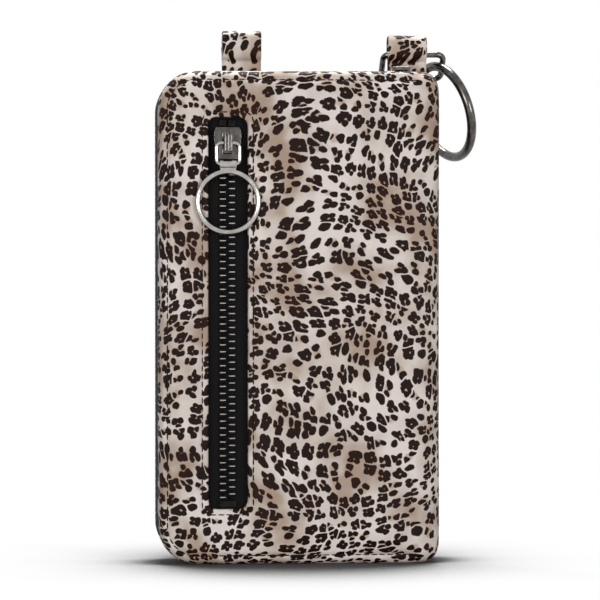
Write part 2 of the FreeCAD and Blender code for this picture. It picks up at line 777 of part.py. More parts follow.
# The gate: a thinner bar with a tongue that turns on the pin.
gate_bar = arc_bar(
    size("gate_wire"), size("gate_start") + ring_angle(size("gate_shoulder")), gate_end + latch_overrun,
)
gate_beyond = slab(block_size, block_size, block_size, latch - end_gap, chord)
tongue_slab = slab(size("gate_tongue"), 2 * size("gate_shoulder"), block_size, pivot, -into_body)
tongue_bar = arc_bar(
    2 * size("gate_tongue_radius"),
    size("gate_start"), size("gate_start") + 2 * ring_angle(size("gate_shoulder")),
)
tongue = tongue_bar.common(tongue_slab)
tongue_end = upright(2 * size("gate_tongue_radius"), size("gate_tongue"), pivot)
loose_pin_hole = upright(size("gate_pin_diameter") + 2 * size("gate_pin_play"), size("gate_ring_wire"), pivot)
gate_shape = gate_bar.cut(gate_beyond).fuse([tongue, tongue_end]).cut(loose_pin_hole).removeSplitter()

spring_shape = slab(
    slot, size("gate_spring_length"), size("gate_spring_thickness"), slot_end, -into_body,
)
pin_length = 2 * math.sqrt((size("gate_ring_wire") / 2) ** 2 - (size("gate_pin_diameter") / 2) ** 2)
pin_shape = upright(size("gate_pin_diameter"), pin_length, pivot)

# It hangs on the rectangular ring's lower bar, turned nearly edge on and leaning with its foot outwards.
hang_point = loop_ring.Placement.multVec(Vector(size("gate_ring_hang"), 0, -size("loop_ring_length")))
upright_turn = Rotation(ALONG_X, 90 + size("gate_ring_lean"))
ring_turn = Rotation(ALONG_Z, -size("gate_ring_turn")).multiply(upright_turn)
hang_way = ring_turn.multVec(on_ring(size("gate_ring_hang_angle")).normalize())
hang_rise = (size("loop_ring_wire") + size("gate_ring_wire")) / 2 + size("gate_ring_play")
ring_middle = hang_point + hang_way * (hang_rise - ring_radius)

for name, shape in (
    ("gate_ring_body", fixed_shape), ("gate_arm", gate_shape),
    ("gate_pin", pin_shape), ("gate_spring", spring_shape),
):
    piece = doc.addObject("Part::Feature", name)
    piece.Shape = shape
    piece.Placement = Placement(ring_middle, ring_turn)
    finish(piece, name)

doc.recompute()

# Every piece is sound before any is written.
for item in doc.Objects:
    if "Invalid" in item.State or "Error" in item.State:
        raise ValueError(f"{item.Label} could not be worked out")
for node in nodes:
    if node.Shape.isNull() or not node.Shape.isValid() or not node.Shape.Solids:
        raise ValueError(f"{node.Label} is not a sound solid")

os.makedirs("parts", exist_ok=True)
for node in nodes:
    node.Shape.exportStep(f"parts/{node.Label}.step")
    print(f"{node.Label}: {len(node.Shape.Solids)} solids, {node.Shape.Volume:.0f} cubic mm")
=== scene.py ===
# %% [markdown]
# # A padded phone pouch in a spotted print
# The pouch stands on its bottom edge. Two padded halves meet at a black zip on the top, the left and
# the bottom, and a strip of the same cloth joins them on the right. The plain metal parts come from the
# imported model, which is loaded first, so every new piece can be measured against it.

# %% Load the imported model
import math

import bmesh
import bpy
from mathutils import Matrix, Vector, noise


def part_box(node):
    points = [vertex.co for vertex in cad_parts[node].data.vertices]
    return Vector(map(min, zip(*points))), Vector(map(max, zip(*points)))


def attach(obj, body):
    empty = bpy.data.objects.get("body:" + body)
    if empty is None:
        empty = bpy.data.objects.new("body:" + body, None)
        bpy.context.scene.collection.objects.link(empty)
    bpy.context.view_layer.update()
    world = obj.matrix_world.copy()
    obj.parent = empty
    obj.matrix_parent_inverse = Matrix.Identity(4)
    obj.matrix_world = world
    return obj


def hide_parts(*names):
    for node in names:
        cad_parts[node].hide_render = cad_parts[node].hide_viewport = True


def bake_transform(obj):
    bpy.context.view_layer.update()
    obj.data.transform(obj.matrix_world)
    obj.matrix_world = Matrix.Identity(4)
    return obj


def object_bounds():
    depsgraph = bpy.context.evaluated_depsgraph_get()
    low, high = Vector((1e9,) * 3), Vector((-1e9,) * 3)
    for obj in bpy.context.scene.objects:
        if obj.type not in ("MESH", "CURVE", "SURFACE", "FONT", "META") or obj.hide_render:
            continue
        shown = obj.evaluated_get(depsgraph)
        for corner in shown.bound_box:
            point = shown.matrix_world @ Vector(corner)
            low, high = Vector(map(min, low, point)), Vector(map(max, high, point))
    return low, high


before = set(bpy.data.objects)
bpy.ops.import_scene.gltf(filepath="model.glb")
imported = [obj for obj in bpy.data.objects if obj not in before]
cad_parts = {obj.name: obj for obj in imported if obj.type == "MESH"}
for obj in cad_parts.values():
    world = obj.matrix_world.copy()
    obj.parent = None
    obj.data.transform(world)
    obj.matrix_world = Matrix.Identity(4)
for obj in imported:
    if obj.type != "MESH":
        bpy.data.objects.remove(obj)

MM = 0.001
WELD = 0.005 * MM  # corners of the loaded meshes that lie closer than this are one
cad_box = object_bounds()
cad_size = [round(c / MM, 1) for c in cad_box[1] - cad_box[0]]
scene = bpy.context.scene
print("frame:", len(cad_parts), "nodes, box", cad_size, "mm")

# %% [markdown]
# ## Small helpers
# An operator works on whatever is selected, and the loaded nodes start selected. So each step first
# selects the one piece that it means. A finished piece rides on a body of the model and names the nodes
# that it stands for.

# %% Selecting and applying


def take(piece):
    """Selects one piece and nothing else."""
    bpy.ops.object.select_all(action="DESELECT")
    piece.select_set(True)
    bpy.context.view_layer.objects.active = piece
    return piece


def made(name):
    """The piece that an operator has just added, under its own name."""
    piece = bpy.context.object
    piece.name = name
    piece.data.name = name
    return piece


def settle(piece):
    """Moves a piece's place, turn and size into its mesh."""
    take(piece)
    bpy.ops.object.transform_apply(location=True, rotation=True, scale=True)
    return piece


def finish_with(piece, kind, **settings):
    """Adds a modifier and applies it."""
    take(piece)
    modifier = piece.modifiers.new(kind, kind)
    for name, value in settings.items():
        setattr(modifier, name, value)
    bpy.ops.object.modifier_apply(modifier=modifier.name)
    return piece


def smooth(piece, angle=40):
    take(piece)
    bpy.ops.object.shade_smooth_by_angle(angle=math.radians(angle))
    return piece


def choose(piece, kind, wanted):
    """Goes into edit mode with only the wanted vertices, edges or faces selected."""
    take(piece)
    bpy.ops.object.mode_set(mode="EDIT")
    bpy.ops.mesh.select_mode(type=kind)
    bpy.ops.mesh.select_all(action="DESELECT")
    bpy.ops.object.mode_set(mode="OBJECT")
    mesh = piece.data
    for item in {"VERT": mesh.vertices, "EDGE": mesh.edges, "FACE": mesh.polygons}[kind]:
        item.select = wanted(item)
    bpy.ops.object.mode_set(mode="EDIT")


# %% Starting, copying and joining pieces


def block(name, low, high):
    """A cube added to fill a box, as the start of a piece."""
    bpy.ops.object.select_all(action="DESELECT")
    bpy.ops.mesh.primitive_cube_add(size=1, location=(low + high) / 2, scale=high - low)
    return settle(made(name))


def copy_of_node(node, name):
    """A merged copy of a node's mesh, to be reshaped."""
    piece = bpy.data.objects.new(name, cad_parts[node].data.copy())
    scene.collection.objects.link(piece)
    take(piece)
    bpy.ops.object.mode_set(mode="EDIT")
    bpy.ops.mesh.select_all(action="SELECT")
    bpy.ops.mesh.remove_doubles(threshold=WELD)
    bpy.ops.object.mode_set(mode="OBJECT")
    return piece


def join(name, pieces):
    take(pieces[0])
    for piece in pieces[1:]:
        piece.select_set(True)
    bpy.ops.object.join()
    return settle(made(name))


def copies(name, original, places):
    """A copy of one piece at each place, a turn and a position, joined to one piece."""
    pieces = []
    for place in places:
        piece = bpy.data.objects.new(name, original.data.copy())
        scene.collection.objects.link(piece)
        piece.matrix_world = place
        pieces.append(piece)
    return join(name, pieces)


def at(point, along, up):
    """The place of a copy: its X lies along one direction and its Z points up another."""
    side = up.cross(along).normalized()
    turn = Matrix((along.normalized(), side, along.cross(side).normalized())).transposed()
    return Matrix.Translation(point) @ turn.to_4x4()


def hand_over(piece, body, slot, material, *nodes):
    """The piece takes a finish, rides on a body, if one is given, and stands for the named nodes."""
    piece.data.materials.clear()
    piece.data.materials.append(material)
    if body:
        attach(piece, body)
    if nodes:
        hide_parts(*nodes)
    print(piece.name, "on", body or "two bodies", "-", len(piece.data.polygons), "faces")
    return piece


# %% [markdown]
# ## Materials
# Colours are written as sRGB hex values and turned to linear light by one function. One more function
# adds a node with its settings and links. The cloth pieces carry a UV map in millimetres, so the print
# runs on round their edges.

# %% Colour and node helpers


def colour(text):
    parts = [int(text[i:i + 2], 16) / 255 for i in (1, 3, 5)]
    return [c / 12.92 if c <= 0.04045 else ((c + 0.055) / 1.055) ** 2.4 for c in parts] + [1]


def add(tree, kind, inputs=(), **settings):
    """Adds a node. inputs gives a socket either another node's output or a plain value."""
    node = tree.nodes.new(kind)
    for name, value in settings.items():
        setattr(node, name, value)
    for socket, value in dict(inputs).items():
        if isinstance(value, bpy.types.NodeSocket):
            tree.links.new(value, node.inputs[socket])
        else:
            node.inputs[socket].default_value = value
    return node.outputs


def new_material(name):
    material = bpy.data.materials.new(name)
    material.use_nodes = True
    return material, material.node_tree, material.node_tree.nodes["Principled BSDF"]


ONE_RIB = 0.314  # the Wave texture's scale that puts one rib on each unit of length

# %% [markdown]
# ### The spotted cloth
# A polyester satin with a printed leopard pattern: cream ground, tan clouds, and dark rosettes 5 mm
# apart. An image would fix one size and one seam, so the print is worked out instead. Each Voronoi cell
# is one rosette. The angle round the cell's middle splits a ring into two to five petals, some cells
# are solid spots, and pale channels part them. A slow noise stretches the whole cloth, so that the
# spots grow, shrink and lean from place to place.

# %% The print's own sizes, in millimetres
ROSETTE = 5.1
RING = (1.22, 0.38)
PETAL = (1.24, 0.25)
SPOT = (1.4, 0.56)
CHANNEL = 0.22
STRETCH_SPAN = 58
STRETCH = (24, 24, 0)
EDGE_SPAN = 3.6
EDGE = (1.5, 1.5, 0)
BLEED = 0.12
EDGE_ROUND = 0.35
CLOUD = 22
CREASE = 9
THREAD = 0.9  # the real threads are about 0.2 mm apart, too fine to show here

# %% The print's own counts and shares
SCATTER = 0.55
PETALS = (2.35, 3.0)
TURNS = 40.0
SPOTS_FROM = 0.88
WEAVE_SHARE = 0.15

# %% Printed satin: where the ink lies


def ink_on(tree, uv):
    """How dark the ink is, and how far a point lies from the nearest rosette's middle."""
    point = uv
    for span, pull in ((STRETCH_SPAN, STRETCH), (EDGE_SPAN, EDGE)):
        waves = {"Vector": uv, "Scale": 1 / span, "Detail": 1.0}
        wave = add(tree, "ShaderNodeTexNoise", waves, noise_dimensions="2D")["Color"]
        pulled = {0: wave, 1: pull, 2: point}
        point = add(tree, "ShaderNodeVectorMath", pulled, operation="MULTIPLY_ADD")[0]
    spread = {"Vector": point, "Scale": 1 / ROSETTE, "Randomness": SCATTER}
    cells = add(tree, "ShaderNodeTexVoronoi", spread, voronoi_dimensions="2D")
    edges = add(tree, "ShaderNodeTexVoronoi", spread, voronoi_dimensions="2D", feature="DISTANCE_TO_EDGE")
    chance = add(tree, "ShaderNodeSeparateColor", {"Color": cells["Color"]})
    far = add(tree, "ShaderNodeMath", {0: cells["Distance"], 1: ROSETTE}, operation="MULTIPLY")[0]
    local = add(tree, "ShaderNodeVectorMath", {0: point, 1: cells["Position"]}, operation="SUBTRACT")
    local_xy = add(tree, "ShaderNodeSeparateXYZ", {0: local[0]})
    angle = add(tree, "ShaderNodeMath", {0: local_xy["Y"], 1: local_xy["X"]}, operation="ARCTAN2")[0]
    # Two to five petals: the angle is folded, so that one round petal repeats round the ring.
    some = add(
        tree, "ShaderNodeMath", {0: chance["Red"], 1: PETALS[1], 2: PETALS[0]}, operation="MULTIPLY_ADD",
    )
    petals = add(tree, "ShaderNodeMath", {0: some[0]}, operation="FLOOR")[0]
    turn = add(tree, "ShaderNodeMath", {0: chance["Green"], 1: TURNS}, operation="MULTIPLY")[0]
    phase = add(tree, "ShaderNodeMath", {0: angle, 1: petals, 2: turn}, operation="MULTIPLY_ADD")
    folded = add(tree, "ShaderNodeMath", {0: phase[0], 1: math.pi, 2: -math.pi}, operation="WRAP")
    folded = add(tree, "ShaderNodeMath", {0: folded[0], 1: petals}, operation="DIVIDE")
    near = add(tree, "ShaderNodeMath", {0: folded[0]}, operation="COSINE")
    ring = add(
        tree, "ShaderNodeMath", {0: chance["Blue"], 1: RING[1], 2: RING[0]}, operation="MULTIPLY_ADD",
    )[0]
    across = add(tree, "ShaderNodeMath", {0: far, 1: near[0]}, operation="MULTIPLY")
    across = add(tree, "ShaderNodeMath", {0: across[0], 1: ring}, operation="SUBTRACT")
    beside = add(tree, "ShaderNodeMath", {0: folded[0]}, operation="SINE")
    beside = add(tree, "ShaderNodeMath", {0: beside[0], 1: far}, operation="MULTIPLY")
    from_petal = add(tree, "ShaderNodeCombineXYZ", {0: across[0], 1: beside[0]})
    from_petal = add(tree, "ShaderNodeVectorMath", {0: from_petal[0]}, operation="LENGTH")["Value"]
    # One side of a rosette has the larger petals, so many look like an open C.
    lean = add(tree, "ShaderNodeMath", {0: chance["Blue"], 1: TURNS, 2: angle}, operation="MULTIPLY_ADD")
    lean = add(tree, "ShaderNodeMath", {0: lean[0]}, operation="COSINE")
    petal = add(
        tree, "ShaderNodeMath", {0: lean[0], 1: PETAL[1], 2: PETAL[0]}, operation="MULTIPLY_ADD",
    )
    rosette = add(tree, "ShaderNodeMath", {0: petal[0], 1: from_petal}, operation="SUBTRACT")[0]
    reach = add(
        tree, "ShaderNodeMath", {0: chance["Red"], 1: SPOT[1], 2: SPOT[0]}, operation="MULTIPLY_ADD",
    )
    spot = add(tree, "ShaderNodeMath", {0: reach[0], 1: far}, operation="SUBTRACT")[0]
    is_spot = add(tree, "ShaderNodeMath", {0: chance["Green"], 1: SPOTS_FROM}, operation="GREATER_THAN")[0]
    mark = add(tree, "ShaderNodeMix", {"Factor": is_spot, 2: rosette, 3: spot})[0]
    # A pale channel is left along the cells' edges, so that neighbours stay apart.
    inside = add(
        tree, "ShaderNodeMath", {0: edges["Distance"], 1: ROSETTE, 2: -CHANNEL}, operation="MULTIPLY_ADD",
    )
    ink = add(tree, "ShaderNodeMath", {0: mark, 1: inside[0], 2: EDGE_ROUND}, operation="SMOOTH_MIN")[0]
    dark = add(
        tree, "ShaderNodeMapRange", {"Value": ink, "From Min": -BLEED, "From Max": BLEED},
        interpolation_type="SMOOTHSTEP",
    )[0]
    return dark, far


# %% Printed satin: its colours and its weave


def printed_satin():
    """Satin gives soft, wide highlights and hides its threads, so the ink does most of the work."""
    material, tree, shader = new_material("printed_polyester_satin")
    uv = add(tree, "ShaderNodeUVMap", uv_map="cloth_mm")["UV"]
    dark, far = ink_on(tree, uv)
    clouds = {"Vector": uv, "Scale": 1 / CLOUD, "Detail": 3.0}
    cloud = add(tree, "ShaderNodeTexNoise", clouds, noise_dimensions="2D")["Fac"]
    shade = add(tree, "ShaderNodeMapRange", {"Value": cloud, "From Min": 0.35, "From Max": 0.62})[0]
    creams = {"Factor": shade, 6: colour("#ece2db"), 7: colour("#c6b5a8")}
    ground = add(tree, "ShaderNodeMix", creams, data_type="RGBA")[2]
    deep = add(
        tree, "ShaderNodeMapRange", {"Value": cloud, "From Min": 0.5, "From Max": 0.72, "To Max": 0.5},
        interpolation_type="SMOOTHSTEP",
    )[0]
    tans = {"Factor": deep, 6: ground, 7: colour("#9c7a60")}
    clouded = add(tree, "ShaderNodeMix", tans, data_type="RGBA")[2]
    middle = add(
        tree, "ShaderNodeMapRange", {"Value": far, "From Min": 2.0, "From Max": 0.9, "To Max": 0.6},
        interpolation_type="SMOOTHSTEP",
    )[0]
    centres = {"Factor": middle, 6: clouded, 7: colour("#b59678")}
    centred = add(tree, "ShaderNodeMix", centres, data_type="RGBA")[2]
    inks = {"Factor": deep, 6: colour("#1a0a05"), 7: colour("#301509")}
    ink = add(tree, "ShaderNodeMix", inks, data_type="RGBA")[2]
    printed = add(tree, "ShaderNodeMix", {"Factor": dark, 6: centred, 7: ink}, data_type="RGBA")[2]
    tree.links.new(printed, shader.inputs["Base Color"])
    warp = add(tree, "ShaderNodeTexWave", {"Vector": uv, "Scale": ONE_RIB / THREAD}, bands_direction="X")
    weft = add(tree, "ShaderNodeTexWave", {"Vector": uv, "Scale": ONE_RIB / THREAD}, bands_direction="Y")
    weave = add(tree, "ShaderNodeMath", {0: warp["Fac"], 1: weft["Fac"]}, operation="MULTIPLY")
    creases = {"Vector": uv, "Scale": 1 / CREASE, "Detail": 3.0}
    crease = add(tree, "ShaderNodeTexNoise", creases, noise_dimensions="2D")["Fac"]
    height = add(
        tree, "ShaderNodeMath", {0: weave[0], 1: WEAVE_SHARE, 2: crease}, operation="MULTIPLY_ADD",
    )
    bump = add(tree, "ShaderNodeBump", {"Height": height[0], "Strength": 0.35, "Distance": 0.5 * MM})
    tree.links.new(bump[0], shader.inputs["Normal"])
    gloss = add(tree, "ShaderNodeMapRange", {"Value": weave[0], "To Min": 0.52, "To Max": 0.66})
    tree.links.new(gloss[0], shader.inputs["Roughness"])
    shader.inputs["Specular IOR Level"].default_value = 0.1
    return material


satin = printed_satin()
print("print: rosettes every", ROSETTE, "mm")

# %% [markdown]
# ### Black tape, dark lining and thread
# Zip tape is a polyester herringbone, the lining a thin plain weave. Both are nearly black, so their
# weave shows as ribs that catch the light more than as colour. The sewing thread is a twisted, nearly
# black polyester, and a grey one sews the sleeve's hem.

# %% Woven blacks and thread


def woven(name, dark, light, rib, rough):
    """Fine ribs that break up the light on a dark, matte cloth. rib is their spacing in millimetres."""
    material, tree, shader = new_material(name)
    place = add(tree, "ShaderNodeTexCoord")["Object"]
    waves = {"Vector": place, "Scale": ONE_RIB / (rib * MM), "Distortion": 0.5}
    ribs = add(tree, "ShaderNodeTexWave", waves, bands_direction="X")
    rows = add(tree, "ShaderNodeTexWave", waves, bands_direction="Z")
    pattern = add(tree, "ShaderNodeMath", {0: ribs["Fac"], 1: rows["Fac"]}, operation="MULTIPLY")[0]
    tints = {"Factor": pattern, 6: colour(dark), 7: colour(light)}
    tint = add(tree, "ShaderNodeMix", tints, data_type="RGBA")
    tree.links.new(tint[2], shader.inputs["Base Color"])
    bump = add(tree, "ShaderNodeBump", {"Height": pattern, "Strength": 0.6, "Distance": 0.15 * MM})
    tree.links.new(bump[0], shader.inputs["Normal"])
    shader.inputs["Roughness"].default_value = rough
    shader.inputs["Specular IOR Level"].default_value = 0.15
    return material


tape_weave = woven("polyester_zip_tape", "#030203", "#0b090b", 0.9, 0.8)
lining_weave = woven("polyester_taffeta_lining", "#161316", "#343034", 0.8, 0.5)
thread = woven("twisted_polyester_thread", "#120d0c", "#261d1b", 0.5, 0.6)
pale_thread = woven("grey_polyester_thread", "#4a4648", "#6b6669", 0.5, 0.6)
print("weaves:", ", ".join(m.name for m in (tape_weave, lining_weave, thread, pale_thread)))

# %% [markdown]
# ### Plated metal
# The pocket's pull is zinc alloy with a bright nickel plate, the sliders and the main zip's pull have a
# dark nickel plate, the rings a gunmetal plate, and the teeth are stamped brass plated dark. A polished
# plate mostly shows its surroundings, so the colour is a tint on them. Fine marks from handling vary
# the gloss, and a slight unevenness of the casting bends the reflections. The teeth's ridges get a
# brighter tint, partly rubbed plating and partly a painted highlight for their glint.

# %% Plates
MARKS = 2.5 * MM
UNEVEN = 5 * MM
ROUGH_SHARES = (0.7, 1.6)


def plated(name, tint, worn, rough, ridge_wear_and_highlight=None):
    """A tinted mirror, uneven and a little dulled. Ridges that a mesh marks are painted brighter, as
    rubbed plating and as a painted highlight.
    """
    material, tree, shader = new_material(name)
    place = add(tree, "ShaderNodeTexCoord")["Object"]
    marks = add(tree, "ShaderNodeTexNoise", {"Vector": place, "Scale": 1 / MARKS, "Detail": 5.0})["Fac"]
    wear = add(tree, "ShaderNodeMapRange", {"Value": marks, "From Min": 0.4, "From Max": 0.7})[0]
    tints = {"Factor": wear, 6: colour(tint), 7: colour(worn)}
    mixed = add(tree, "ShaderNodeMix", tints, data_type="RGBA")[2]
    # The ridges' brighter tint is partly rubbed plating and partly a painted highlight for their glint.
    if ridge_wear_and_highlight:
        ridge = add(tree, "ShaderNodeAttribute", attribute_name="ridge")["Fac"]
        tints = {"Factor": ridge, 6: mixed, 7: colour(ridge_wear_and_highlight)}
        mixed = add(tree, "ShaderNodeMix", tints, data_type="RGBA")[2]
    tree.links.new(mixed, shader.inputs["Base Color"])
    least, most = (rough * share for share in ROUGH_SHARES)
    dull = add(tree, "ShaderNodeMapRange", {"Value": marks, "To Min": least, "To Max": most})
    tree.links.new(dull[0], shader.inputs["Roughness"])
    uneven = add(tree, "ShaderNodeTexNoise", {"Vector": place, "Scale": 1 / UNEVEN, "Detail": 1.0})["Fac"]
    bump = add(tree, "ShaderNodeBump", {"Height": uneven, "Strength": 0.25, "Distance": 0.2 * MM})
    tree.links.new(bump[0], shader.inputs["Normal"])
    shader.inputs["Metallic"].default_value = 1.0
    return material


nickel = plated("nickel_plated_zinc", "#a09d99", "#b9b6b1", 0.16)
gunmetal = plated("gunmetal_plated_zinc", "#4a4846", "#6a6764", 0.18)
slider_plate = plated("dark_nickel_plated_zinc", "#514e4c", "#6c6966", 0.15)
dark_brass = plated("dark_plated_brass", "#161514", "#262423", 0.3, ridge_wear_and_highlight="#8d8a86")
black_brass = plated("black_oxidised_brass", "#121112", "#1d1c1c", 0.35, ridge_wear_and_highlight="#343333")
spring_steel = plated("tempered_spring_steel", "#77777a", "#8f8f92", 0.3)
plates = (nickel, gunmetal, slider_plate, dark_brass, black_brass, spring_steel)
print("plates:", ", ".join(m.name for m in plates))

# %% [markdown]
# ## The padded halves
# Each half is cloth over thin foam. The model's plain tray is copied and remeshed into even small
# faces, then Cloth blows it up a little while its rim, its inside and the window's edge are held. A cap
# keeps the swelling under a millimetre. Last, the sewing lines and their puckers are pressed in,
# because a remesh would wipe them out.

# %% Inflate a tray
front_low, front_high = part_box("front_shell")
back_low, back_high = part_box("back_shell")
TAPE_MARGIN = Vector((4 * MM, 0, 4 * MM))
window_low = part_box("pocket_tape_left")[0] + TAPE_MARGIN
window_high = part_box("pocket_tape_right")[1] - TAPE_MARGIN
VOXEL = 1.5 * MM
SWELL = 0.9 * MM
CLOTH_STEPS = 20
NO_MOVE = 1e-9


def inflate(piece, held):
    """Lets Cloth press a remeshed piece outwards, except where held(point) is true."""
    take(piece)
    rest = [vertex.co.copy() for vertex in piece.data.vertices]
    pins = piece.vertex_groups.new(name="held")
    pins.add([vertex.index for vertex in piece.data.vertices if held(vertex.co)], 1.0, "REPLACE")
    cloth = piece.modifiers.new("cloth", "CLOTH")
    cloth.settings.quality = 4
    cloth.settings.mass = 0.2
    cloth.settings.bending_stiffness = 3
    cloth.settings.use_pressure = True
    cloth.settings.uniform_pressure_force = 4
    cloth.settings.vertex_group_mass = "held"
    cloth.settings.effector_weights.gravity = 0
    cloth.collision_settings.use_collision = False
    cloth.point_cache.frame_end = CLOTH_STEPS
    for step in range(CLOTH_STEPS):
        scene.frame_set(step + 1)
    bpy.ops.object.modifier_apply(modifier="cloth")
    scene.frame_set(1)
    for vertex, start in zip(piece.data.vertices, rest):
        moved = vertex.co - start
        vertex.co = start + moved * min(1.0, SWELL / max(moved.length, NO_MOVE))
    piece.vertex_groups.clear()


# %% Where the sewing runs
CORNERS = (14 * MM, 6 * MM)
WINDOW_CORNERS = (1.5 * MM, 1.5 * MM)
SEAM_INSET = 3.3 * MM
WINDOW_SEAM = 2.2 * MM
SEAM_END = 8 * MM
SEAM_DEPTH = 0.6 * MM
SEAM_WIDTH = 0.75 * MM
PUCKER = 5 * MM


def inset_of(point, low, high, radii):
    """How far a point lies inside a rounded outline in X and Z. radii are its left and right corners'."""
    middle = (low + high) / 2
    radius = radii[0] if point.x < middle.x else radii[1]
    across = abs(point.x - middle.x) - (high.x - low.x) / 2 + radius
    up = abs(point.z - middle.z) - (high.z - low.z) / 2 + radius
    return radius - math.hypot(max(across, 0), max(up, 0)) - min(max(across, up), 0)


def off_seam(point, low, high, has_window):
    """How far a point on the outer face lies from the nearest row of sewing."""
    off = abs(inset_of(point, low, high, CORNERS) - SEAM_INSET)
    if point.x > high.x - SEAM_END:
        off = max(off, point.x - high.x + SEAM_END + SEAM_WIDTH)
    if has_window:
        off = min(off, abs(inset_of(point, window_low, window_high, WINDOW_CORNERS) + WINDOW_SEAM))
    return off


# %% Make both halves
WALL = 3 * MM
HELD_INSET, HELD_DEPTH = WALL * 0.8, WALL * 0.7
HELD_WINDOW = 1.5 * MM
HELD_RIM = 2 * MM
FACE_DEPTH = 4 * MM
FACE_SLOPE = 0.25
PUCKER_SPAN, PUCKER_HEIGHT = 4.5 * MM, 0.3 * MM
SAG_SPAN, SAG_HEIGHT = 24 * MM, 0.35 * MM
CLOTH_ANGLE = 60


def lay_print(piece, face_y, outward, shift):
    """A UV map in millimetres: flat on the face, and carried on round the edges."""
    layer = piece.data.uv_layers.new(name="cloth_mm")
    middle = (front_low + front_high) / 2
    half = (front_high - front_low) / 2
    for loop in piece.data.loops:
        point = piece.data.vertices[loop.vertex_index].co
        behind = max(0.0, -outward * (point.y - face_y))
        across = (point.x - middle.x) * (1 + behind / half.x) / MM
        up = (point.z - middle.z) * (1 + behind / half.z) / MM
        layer.data[loop.index].uv = (across * -outward + shift[0], up + shift[1])


def padded_half(node, name, outward, shift):
    piece = copy_of_node(node, name)
    finish_with(piece, "REMESH", mode="VOXEL", voxel_size=VOXEL)
    low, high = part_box(node)
    face = low.y if outward < 0 else high.y
    has_window = outward < 0

    def held(point):
        deep = abs(point.y - face)
        inside = inset_of(point, low, high, CORNERS) > HELD_INSET and deep > HELD_DEPTH
        by_window = has_window and -inset_of(point, window_low, window_high, (0, 0)) < HELD_WINDOW
        by_rim = deep > (high.y - low.y) - HELD_RIM
        return inside or by_window or by_rim

    inflate(piece, held)
    finish_with(piece, "SUBSURF", levels=1, render_levels=1)
    normals = [vertex.normal.copy() for vertex in piece.data.vertices]
    for vertex, normal in zip(piece.data.vertices, normals):
        if abs(vertex.co.y - face) < FACE_DEPTH and normal.y * outward > FACE_SLOPE:
            off = off_seam(vertex.co, low, high, has_window)
            seam = SEAM_DEPTH * math.exp(-(off / SEAM_WIDTH) ** 2)
            pucker = noise.noise(vertex.co / PUCKER_SPAN) * PUCKER_HEIGHT * math.exp(-off / PUCKER)
            sag = noise.noise(vertex.co / SAG_SPAN) * SAG_HEIGHT
            vertex.co.y -= outward * (seam + pucker + sag)
    lay_print(piece, face, outward, shift)
    return smooth(piece, CLOTH_ANGLE)


front_half = padded_half("front_shell", "front_padded_half", -1, (0, 0))
back_half = padded_half("back_shell", "back_padded_half", 1, (140, 60))
hand_over(front_half, "front_cover", "printed_cloth", satin, "front_shell")
hand_over(back_half, "pouch_back", "printed_cloth", satin, "back_shell")

# %% [markdown]
# ## Sewing thread
# A dark row of stitches follows each pressed line. A thread could be one long tube, but real lockstitch
# dips into the cloth at every needle hole. So one short stitch is modelled, and copies are set along
# the line, each laid on the cloth where a ray from outside meets it.

# %% One stitch
STITCH = Vector((2.5, 0.55, 0.5)) * MM
STITCH_STEP = 2.9 * MM
STITCH_LIFT = 0.05 * MM
RAY_START = 20 * MM
BEND_STEP = 9

bpy.ops.object.select_all(action="DESELECT")
bpy.ops.mesh.primitive_uv_sphere_add(segments=6, ring_count=5, radius=0.5, rotation=(0, math.pi / 2, 0))
stitch = settle(made("one_stitch"))
stitch.scale = STITCH
smooth(settle(stitch), CLOTH_ANGLE)
print("stitch:", len(stitch.data.polygons), "faces")

# %% Rows of stitches


def seam_line(corners, radius, step):
    """Evenly spaced points, with their directions, on a line through corner points that it rounds."""
    line = [corners[0]]
    for before, corner, after in zip(corners, corners[1:], corners[2:]):
        back, on = (before - corner).normalized(), (after - corner).normalized()
        middle = corner + (back + on) * radius
        for turn in range(0, 90 + BEND_STEP, BEND_STEP):
            angle = math.radians(turn)
            line.append(middle - on * radius * math.cos(angle) - back * radius * math.sin(angle))
    line.append(corners[-1])
    places, wait = [], 0.0
    for start, end in zip(line, line[1:]):
        way = end - start
        while wait < way.length:
            places.append((start + way.normalized() * wait, way.normalized()))
            wait += step
        wait -= way.length
    return places


def stitched(name, cloth, outward, line):
    """Stitches laid on the outer face of a piece of cloth."""
    toward = Vector((0, -outward, 0))
    places = []
    for point, way in line:
        found, spot, normal, face = cloth.ray_cast(point - toward * RAY_START, toward)
        if found:
            places.append(at(spot + normal * STITCH_LIFT, way, normal))
    return smooth(copies(name, stitch, places), CLOTH_ANGLE)


def edge_line(low, high):
    """The sewing near the edge: along the top, round the left side and back along the bottom."""
    left, right = low.x + SEAM_INSET, high.x - SEAM_END
    top, bottom = high.z - SEAM_INSET, low.z + SEAM_INSET
    corners = [Vector((x, 0, z)) for x, z in ((right, top), (left, top), (left, bottom), (right, bottom))]
    return seam_line(corners, CORNERS[0] - SEAM_INSET, STITCH_STEP)


def window_line():
    left, right = window_low.x - WINDOW_SEAM, window_high.x + WINDOW_SEAM
    top, bottom = window_high.z + WINDOW_SEAM, window_low.z - WINDOW_SEAM
    middle = (top + bottom) / 2
    spots = ((right, middle), (right, top), (left, top), (left, bottom), (right, bottom), (right, middle))
    return seam_line([Vector((x, 0, z)) for x, z in spots], WINDOW_CORNERS[0] + WINDOW_SEAM, STITCH_STEP)


front_stitches = stitched("front_edge_stitches", front_half, -1, edge_line(front_low, front_high))
window_stitches = stitched("window_stitches", front_half, -1, window_line())
back_stitches = stitched("back_edge_stitches", back_half, 1, edge_line(back_low, back_high))
hand_over(front_stitches, "front_cover", "printed_cloth", thread)
hand_over(window_stitches, "front_cover", "printed_cloth", thread)
hand_over(back_stitches, "pouch_back", "printed_cloth", thread)
